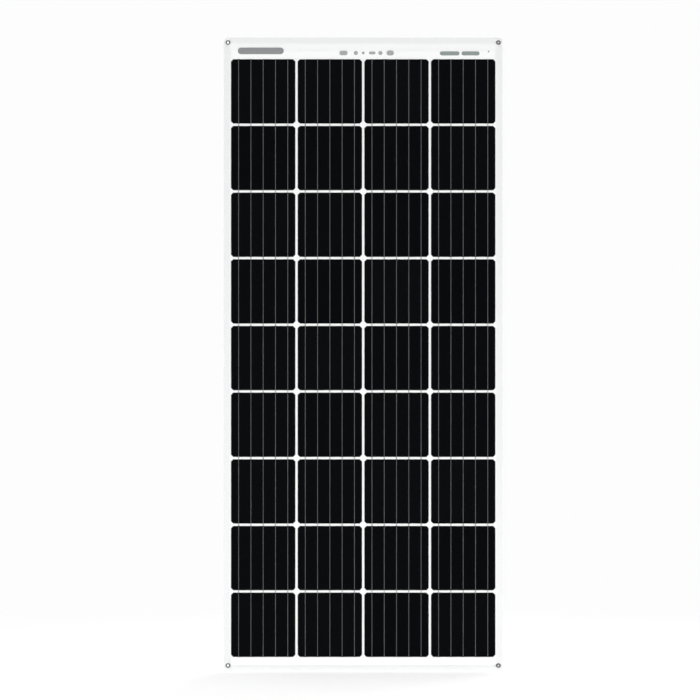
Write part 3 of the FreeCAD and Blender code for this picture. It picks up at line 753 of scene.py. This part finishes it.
# %% Half-cells
CELL_CLIP = 5.5 * MM
INGOT_RADIUS = math.hypot(HALF_CELL, HALF_CELL - CELL_CLIP)


def cell_half(row, column_middle, high, low):
    """The part of one cell between two heights: half-width = min(side / 2, sqrt(R^2 - dz^2))."""
    middle = row_middles[row]

    def half_width(z):
        ingot = np.sqrt(INGOT_RADIUS ** 2 - (z - middle) ** 2)
        return np.minimum(HALF_CELL, ingot)

    clip = np.linspace(HALF_CELL - CELL_CLIP, HALF_CELL, 6)
    heights = levels(high, low, np.concatenate([middle + clip, middle - clip]))
    return slab(heights, half_width, flat(WAFER_FRONT), flat(WAFER_BACK), centre=column_middle)


def cell_reach(row, span):
    """The heights that the span shows of a row of cells."""
    high = min(row_middles[row] + HALF_CELL, span["ends"][0])
    low = max(row_middles[row] - HALF_CELL, span["ends"][1])
    return high, low


for span in spans:
    halves = [cell_half(row, middle, *cell_reach(row, span))
              for row in span["rows"] for middle in column_middles]
    cells = make_piece(f"cells_{span['number']}", gather(halves), [silicon])
    stands_for("cells", span)
    bend_with(cells)
print("ingot radius", round(INGOT_RADIUS / MM, 1), "mm,", len(halves), "half-cells in a span")

# %% [markdown]
# ### Ribbons
#
# Five ribbons lie on the front of each cell and five on its back. The cells are in series, so the
# ribbons on the front of one cell step down in the gap and become those on the back of the next:
# downwards in the first and third columns and upwards in the others. Each ribbon is a slab whose
# front and back both follow one line y(z), which steps smoothly at the cells' edges.

# %% Ribbon runs
RIBBON_HALF_WIDTH = 0.75 * MM
RIBBON_PITCH = 30 * MM
RIBBONS_PER_CELL = 5
RIBBON_INSET = 2 * MM
STEP_START, STEP_END = 0.5 * MM, 2 * MM
BUS_FAR_EDGE = 11 * MM
RIBBON_THICKNESS = WAFER_FRONT - RIBBON_FRONT
ribbon_offsets = (np.arange(RIBBONS_PER_CELL) - (RIBBONS_PER_CELL - 1) / 2) * RIBBON_PITCH
FRONT_LINE = (RIBBON_FRONT + WAFER_FRONT) / 2
BACK_LINE = (RIBBON_BACK + WAFER_BACK) / 2
MIDDLE_LINE = (WAFER_FRONT + WAFER_BACK) / 2


def ribbon(x, high, low, line):
    """A ribbon between two heights whose middle follows the (z, y) points of line."""
    line = np.asarray(sorted(line))
    heights = levels(high, low, line[:, 0])

    def middle(z):
        return np.interp(z, line[:, 0], line[:, 1])

    return slab(heights, lambda z: np.full_like(z, RIBBON_HALF_WIDTH),
                lambda x, z: middle(z) - RIBBON_THICKNESS / 2,
                lambda x, z: middle(z) + RIBBON_THICKNESS / 2, centre=x)


def leaving(row, side, face):
    """(z, y) points of a ribbon that leaves its cell's face past the upper or lower edge."""
    edge = row_middles[row] + side * HALF_CELL
    return [(edge - side * STEP_START, face), (edge + side * STEP_END, MIDDLE_LINE)]


def ribbon_runs(span, column):
    """(high, low, line) of the three runs that each ribbon place has in a span."""
    upper, lower = span["rows"]
    faces = (FRONT_LINE, BACK_LINE) if column % 2 == 0 else (BACK_LINE, FRONT_LINE)
    crossing = leaving(upper, -1, faces[0]) + leaving(lower, 1, faces[1])
    free_below = row_middles[upper] - HALF_CELL + RIBBON_INSET
    free_above = row_middles[lower] + HALF_CELL - RIBBON_INSET
    high, low = span["middles"]
    runs = [(high, low, crossing), (high, free_below, [(high, faces[1])]),
            (free_above, low, [(low, faces[0])])]
    if upper == 0:
        bus = row_middles[0] + HALF_CELL + BUS_FAR_EDGE
        free = row_middles[0] + HALF_CELL - RIBBON_INSET
        runs += [(bus, high, leaving(0, 1, faces[1])), (free, high, [(high, faces[0])])]
    if lower == ROWS - 1:
        bus = row_middles[-1] - HALF_CELL - BUS_FAR_EDGE
        free = row_middles[-1] - HALF_CELL + RIBBON_INSET
        runs += [(low, bus, leaving(ROWS - 1, -1, faces[0])), (low, free, [(low, faces[1])])]
    return runs


for span in spans:
    shapes = [ribbon(middle + offset, *run) for column, middle in enumerate(column_middles)
              for run in ribbon_runs(span, column) for offset in ribbon_offsets]
    ribbons = make_piece(f"ribbons_{span['number']}", gather(shapes), [tinned_copper])
    stands_for("ribbons", span)
    bend_with(ribbons)
    print(ribbons.name, "has", len(shapes), "runs")

# %% [markdown]
# ### Print in the top margin
#
# A sheet like this carries some print above its cells. Here it is plain shapes with no lettering:
# a long grey bar, a row of dots and dashes, and two grey-green bars, reverse-printed on the inner
# side of the film. Each shape is a slab with round ends.

# %% Ink marks
BLUNT_TIP = 0.01 * MM  # keeps a round mark from ending in a point


def make_ink(name, colour, worn_colour):
    """Screen ink: matt, with the slight mottling of a mesh print."""
    material = new_material(name)
    place = node(material, "UVMap", uv_map=UV_MAP)
    tone = mottled(material, place, 5, colour, worn_colour)
    return surface(material, "BsdfPrincipled",
                   {"Base Color": tone, "Roughness": 0.6, "Specular IOR Level": 0.1})


def round_bar(x, z, length, height):
    """A flat bar with round ends, which is a rectangle whose corners' radius is half its height."""
    radius = height / 2
    heights = z + radius * np.cos(np.radians(np.arange(0, 181, 10)))
    half_width = rounded_rectangle(z, length / 2 + BLUNT_TIP, radius, radius)
    return slab(heights, half_width, flat(INK_FRONT), flat(INK_BACK), centre=x)


# Each mark is (x, z, length, height) in millimetres.
PRINT = {
    "print_bar": (("#848587", "#9B9C9D"), [(-250, -20.5, 112, 16)]),
    "print_dots": (("#9B9C9D", "#B2B3B3"),
                   [(-48, -25.5, 20, 11), (-18, -25.5, 10, 10), (0, -25.5, 7, 7),
                    (22, -25.5, 16, 7), (42, -25.5, 10, 10), (66, -25.5, 18, 12)]),
    "print_green": (("#848F8B", "#98A29E"),
                    [(211, -26.5, 48, 10), (262, -26.5, 44, 10), (306, -22, 4, 4)]),
}
for name, (colours, marks) in PRINT.items():
    bars = [round_bar(*[size * MM for size in mark]) for mark in marks]
    printed = make_piece(name, gather(bars), [make_ink(f"{name}_ink", *colours)])
    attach(printed, "row_1")
    print(name, "has", len(marks), "marks")

# %% [markdown]
# ## Junction box
#
# The box is moulded plastic, and its CAD shape is right, but a CAD mesh is loose triangles with
# knife-sharp edges. A copy of it is merged, its flat faces are made whole, and a Bevel modifier
# rounds the edges as a mould does. The fine matt grain comes from the spark-eroded mould.

# %% Moulded and rubber materials


def make_moulded(name, dark, light, grain, roughness, depth):
    """A moulded plastic or rubber: base tone with slight clouding, and the mould's grain.

    grain is the distance between the grain's bumps and depth their height, in millimetres.
    """
    material = new_material(name)
    place = node(material, "TexCoord").outputs["Object"]
    cloud = node(material, "TexNoise", {"Vector": place, "Scale": per_mm(18), "Detail": 4.0})
    tone = node(material, "Mix", {0: cloud, 6: linear(dark), 7: linear(light)}, data_type="RGBA")
    spark = node(material, "TexNoise", {"Vector": place, "Scale": per_mm(grain), "Detail": 2.0})
    matt = node(material, "MapRange", {"Value": cloud,
                                       "To Min": roughness - 0.05, "To Max": roughness + 0.05})
    relief = node(material, "Bump", {"Height": spark, "Strength": 0.6, "Distance": depth * MM})
    return surface(material, "BsdfPrincipled",
                   {"Base Color": tone, "Roughness": matt,
                    "IOR": 1.5, "Normal": relief})


housing_plastic = make_moulded("black_ppo_moulding", "#141416", "#1C1C1F", 0.6, 0.48, 0.05)
nut_plastic = make_moulded("black_polyamide_moulding", "#121213", "#18181A", 1.2, 0.36, 0.02)
seal_rubber = make_moulded("grey_silicone_rubber", "#37383A", "#414244", 0.8, 0.7, 0.02)
bonding_silicone = make_moulded("white_cured_silicone", "#D6D6D2", "#E2E2DE", 2.0, 0.5, 0.05)
diode_epoxy = make_moulded("black_moulding_epoxy", "#151515", "#1B1B1B", 0.4, 0.3, 0.01)
print("moulded finishes are ready")

# %% Finished copies of the CAD parts
WELD = 0.001 * MM
COPLANAR = math.radians(0.5)
ROUNDED_FROM = math.radians(35)


def finished_copy(name, cad_node, material, body, slot, edge_radius):
    """A merged copy of a CAD node with rounded edges, which stands for the node."""
    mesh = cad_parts[cad_node].data.copy()
    mesh.name = name
    work = bmesh.new()
    work.from_mesh(mesh)
    bmesh.ops.remove_doubles(work, verts=work.verts, dist=WELD)
    bmesh.ops.dissolve_limit(work, angle_limit=COPLANAR, verts=work.verts, edges=work.edges)
    work.to_mesh(mesh)
    work.free()
    mesh.materials.clear()
    mesh.materials.append(material)
    mesh.shade_smooth()
    piece = add_object(name, mesh)
    rounded = piece.modifiers.new("rounded_edges", "BEVEL")
    rounded.width = edge_radius
    rounded.segments = 2
    rounded.limit_method = "ANGLE"
    rounded.angle_limit = ROUNDED_FROM
    rounded.harden_normals = True
    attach(piece, body)
    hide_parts(cad_node)
    return piece


# Each part is (name, CAD node, material, body, slot, radius of its edges).
BOX_PARTS = [
    ("junction_box_base", "box_base", housing_plastic, "row_1", "black_housing", 0.3 * MM),
    ("junction_box_lid", "box_lid", housing_plastic, "lid", "black_housing", 0.3 * MM),
    ("lid_seal", "box_lid_seal", seal_rubber, "row_1", "seal_rubber", 0.1 * MM),
    ("bonding_pad", "box_adhesive", bonding_silicone, "row_1", "bonding_pad", 0.15 * MM),
    ("terminal_clips", "terminals", tinned_copper, "row_1", "tinned_copper", 0.15 * MM),
    ("cable_gland_nuts", "gland_nuts", nut_plastic, "row_1", "black_nut", 0.3 * MM),
    ("cable_gland_seals", "gland_seals", seal_rubber, "row_1", "seal_rubber", 0.1 * MM),
    ("diodes", "bypass_diodes", diode_epoxy, "row_1", "diode_epoxy", 0.1 * MM),
]
for details in BOX_PARTS:
    piece = finished_copy(*details)
    print(piece.name, len(piece.data.polygons), "faces before rounding")

# %% Diode leads
# The two diodes lie along X, each half-way between two terminals, and whatever is past the ends of
# their bodies is a tinned lead.
DIODE_HALF_BODY = 4.75 * MM
TERMINAL_PITCH = 30 * MM
diode_mesh = bpy.data.objects["diodes"].data
diode_mesh.materials.append(tinned_copper)
centres = np.empty(3 * len(diode_mesh.polygons))
diode_mesh.polygons.foreach_get("center", centres)
from_middle = np.abs(np.abs(centres.reshape(-1, 3)[:, 0]) - TERMINAL_PITCH / 2)
diode_mesh.polygons.foreach_set("material_index", (from_middle > DIODE_HALF_BODY).astype(np.int32))
print("diode faces that are lead:", np.count_nonzero(from_middle > DIODE_HALF_BODY))

# %% Bus ribbons and their covers
# These lie flat in the stiff margins, and their plain CAD shapes are right as they are.
for cad_part, material in (("bus_ribbons", tinned_copper), ("bus_cover", cover_strip)):
    for end in ("top", "bottom"):
        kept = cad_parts[f"{cad_part}_{end}"]
        kept.data.materials.clear()
        kept.data.materials.append(material)
        print(kept.name, "wears", material.name)

# %% [markdown]
# ## Rating label
#
# Every such panel has a rating label behind it. This one is blank: silver-grey polyester with a
# thin printed frame and a few empty ruled lines, and no words. The frame is worked out from the
# distance to the label's edge, as the sheet's band of painted shade is.

# %% Label
label_low, label_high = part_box("rating_label")
LABEL_RADIUS = 2.5 * MM
LABEL_HALF = ((label_high.x - label_low.x) / 2, (label_high.z - label_low.z) / 2)
LABEL_MIDDLE = ((label_high.x + label_low.x) / 2, (label_high.z + label_low.z) / 2)
LINE_SPACING = 7  # millimetres
LINE_WIDTH = 0.5  # millimetres
FRAME_INSET, LINES_INSET = 3 * MM, 5 * MM


def make_label_material():
    material = new_material("silver_polyester_label")
    place = node(material, "UVMap", uv_map=UV_MAP)
    depth = depth_inside(material, place, LABEL_MIDDLE, LABEL_HALF)
    on_frame = node(material, "Math", {0: depth, 1: FRAME_INSET, 2: LINE_WIDTH / 2 * MM},
                    operation="COMPARE")
    within = node(material, "Math", {0: depth, 1: LINES_INSET}, operation="GREATER_THAN")
    xz = node(material, "SeparateXYZ", {0: place})
    height = node(material, "Math", {0: xz.outputs[1], 1: LABEL_MIDDLE[1]}, operation="SUBTRACT")
    counted = node(material, "Math", {0: height, 1: per_mm(LINE_SPACING)}, operation="MULTIPLY")
    between = node(material, "Math", {0: counted}, operation="FRACT")
    on_line = node(material, "Math", {0: between, 1: LINE_WIDTH / LINE_SPACING},
                   operation="LESS_THAN")
    ruled = node(material, "Math", {0: on_line, 1: within}, operation="MULTIPLY")
    printed = node(material, "Math", {0: ruled, 1: on_frame}, operation="MAXIMUM")
    stock = mottled(material, place, 0.7, "#C9CACA", "#D3D4D4", detail=2.0)
    tone = node(material, "Mix", {0: printed, 6: stock, 7: linear("#5A5C5E")}, data_type="RGBA")
    return surface(material, "BsdfPrincipled",
                   {"Base Color": tone, "Roughness": 0.35, "IOR": 1.5})


label_corner = LABEL_RADIUS * (1 - np.cos(np.radians(np.arange(0, 91, 15))))
label_levels = levels(label_high.z, label_low.z,
                      np.concatenate([label_high.z - label_corner, label_low.z + label_corner]))
label_half_width = rounded_rectangle(LABEL_MIDDLE[1], *LABEL_HALF, LABEL_RADIUS)
label = make_piece("rating_label_blank",
                   slab(label_levels, label_half_width, flat(label_low.y), flat(label_high.y)),
                   [make_label_material()])
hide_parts("rating_label")
bend_with(label)
print("label", [round(2 * half / MM) for half in LABEL_HALF], "mm")

# %% [markdown]
# ## Stage, light and camera
#
# The sheet hangs straight, its lower edge just over a plain pale floor. A long lens far away
# keeps its sides parallel. Two large soft lights at the sides brighten the white margins and are
# left out of reflections, so the glossy film over the cells shows only a dark card that stands
# behind the camera. The rest of the room is a soft grey, which the metal and the black plastic
# mirror. A light from above gives them a highlight, and one from behind keeps the back readable.

# %% Floor and world
FLOOR_GAP = 1 * MM
FLOOR_RADIUS = 2.6
FLOOR_FADE = (0.5, 2.3)  # metres from the middle
FLOOR_TURNS = 64
BACKGROUND = linear("#FDFDFD")
DARK_CARD = (-0.93, -0.55)  # the Y of the directions between which the card gives way to the room
CARD_LIGHT, ROOM_LIGHT = 0.012, 0.45


def make_floor_material():
    """A pale studio floor that shows a soft contact shadow and fades into the background."""
    material = new_material("pale_studio_floor")
    place = node(material, "TexCoord").outputs["Object"]
    tone = mottled(material, place, 300, "#ECECEC", "#F2F2F2")
    floor_paint = node(material, "BsdfPrincipled",
                       {"Base Color": tone, "Roughness": 0.8, "Specular IOR Level": 0.1,
                        "Emission Color": BACKGROUND, "Emission Strength": 0.36})
    horizon = node(material, "Emission", {"Color": BACKGROUND})
    flat_place = node(material, "VectorMath", {0: place, 1: (1, 1, 0)}, operation="MULTIPLY")
    reach = node(material, "VectorMath", {0: flat_place}, operation="LENGTH")
    fade = node(material, "MapRange", {"Value": reach, "From Min": FLOOR_FADE[0],
                                       "From Max": FLOOR_FADE[1]}, interpolation_type="SMOOTHSTEP")
    return surface(material, "MixShader", {0: fade, 1: floor_paint, 2: horizon})


floor_mesh = bpy.data.meshes.new("studio_floor")
floor_level = BOTTOM - FLOOR_GAP
turns = np.linspace(0, 2 * np.pi, FLOOR_TURNS, endpoint=False)
rim = np.stack([FLOOR_RADIUS * np.cos(turns), FLOOR_RADIUS * np.sin(turns),
                np.full(FLOOR_TURNS, floor_level)], -1)
floor_mesh.from_pydata(rim, [], [range(FLOOR_TURNS)])
floor_mesh.materials.append(make_floor_material())
floor = add_object("studio_floor", floor_mesh)
floor.visible_glossy = False
floor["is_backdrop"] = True

world = bpy.data.worlds.new("studio")
world.use_nodes = True
world.node_tree.nodes.clear()
path = node(world, "LightPath")
direction = node(world, "TexCoord")
axes = node(world, "SeparateXYZ", {0: direction.outputs["Generated"]})
room = node(world, "MapRange",
            {"Value": axes.outputs["Y"], "From Min": DARK_CARD[0], "From Max": DARK_CARD[1],
             "To Min": CARD_LIGHT, "To Max": ROOM_LIGHT}, interpolation_type="SMOOTHSTEP")
dim = node(world, "Background", {"Color": linear("#FFFFFF"), "Strength": room})
bright = node(world, "Background", {"Color": BACKGROUND, "Strength": 1.0})
mixed = node(world, "MixShader", {0: path.outputs["Is Camera Ray"], 1: dim, 2: bright})
node(world, "OutputWorld", {"Surface": mixed})
bpy.context.scene.world = world
bpy.context.scene.view_settings.view_transform = "Standard"
print("floor at", round(floor_level / MM, 1), "mm")

# %% Lights


def soft_light(name, place, size, power, mirrored=True):
    """A square area light that faces the middle of the sheet, and isn't itself seen.

    place and size are in metres, and power in watts.
    A mirrored light shows in gloss and metal as a highlight, which the two side lights leave
    out, because at some angles it would wash over the whole face of the sheet.
    """
    lamp = bpy.data.lights.new(name, "AREA")
    lamp.shape = "SQUARE"
    lamp.size = size
    lamp.energy = power
    light = add_object(name, lamp)
    away = Vector(place) - Vector((0, 0, MIDDLE))
    light.location = place
    light.rotation_euler = away.to_track_quat("Z", "Y").to_euler()
    light.visible_camera = False
    light.visible_glossy = mirrored
    print(name, power, "W")


soft_light("left_softbox", (-4.6, -3.6, MIDDLE + 0.6), 3.2, 157, mirrored=False)
soft_light("right_softbox", (4.6, -3.6, MIDDLE + 0.6), 3.2, 157, mirrored=False)
soft_light("top_softbox", (0, -2.6, MIDDLE + 4.6), 2.6, 62)
soft_light("rear_softbox", (1.8, 4.6, MIDDLE + 2.4), 3.0, 90)

# %% Camera
VIEW_HEIGHT = 1.7087  # metres that the view takes in at the sheet
LENS, SENSOR = 200, 36
CAMERA_X, CAMERA_Z = -0.0322, -0.7506
distance = VIEW_HEIGHT * LENS / SENSOR
camera_data = bpy.data.cameras.new("camera")
camera_data.lens = LENS
camera_data.sensor_width = SENSOR
camera_data.clip_end = 100
camera = add_object("camera", camera_data)
camera.location = (CAMERA_X, FILM_FRONT - distance, CAMERA_Z)
camera.rotation_euler = (math.radians(90), 0, 0)
bpy.context.scene.camera = camera
print("camera", round(distance, 2), "m away")

# %% Sizes, and the end
look_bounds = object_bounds()
for name, bounds in (("CAD", cad_bounds), ("visual", look_bounds)):
    print(name, [[round(value / MM, 2) for value in corner] for corner in bounds])
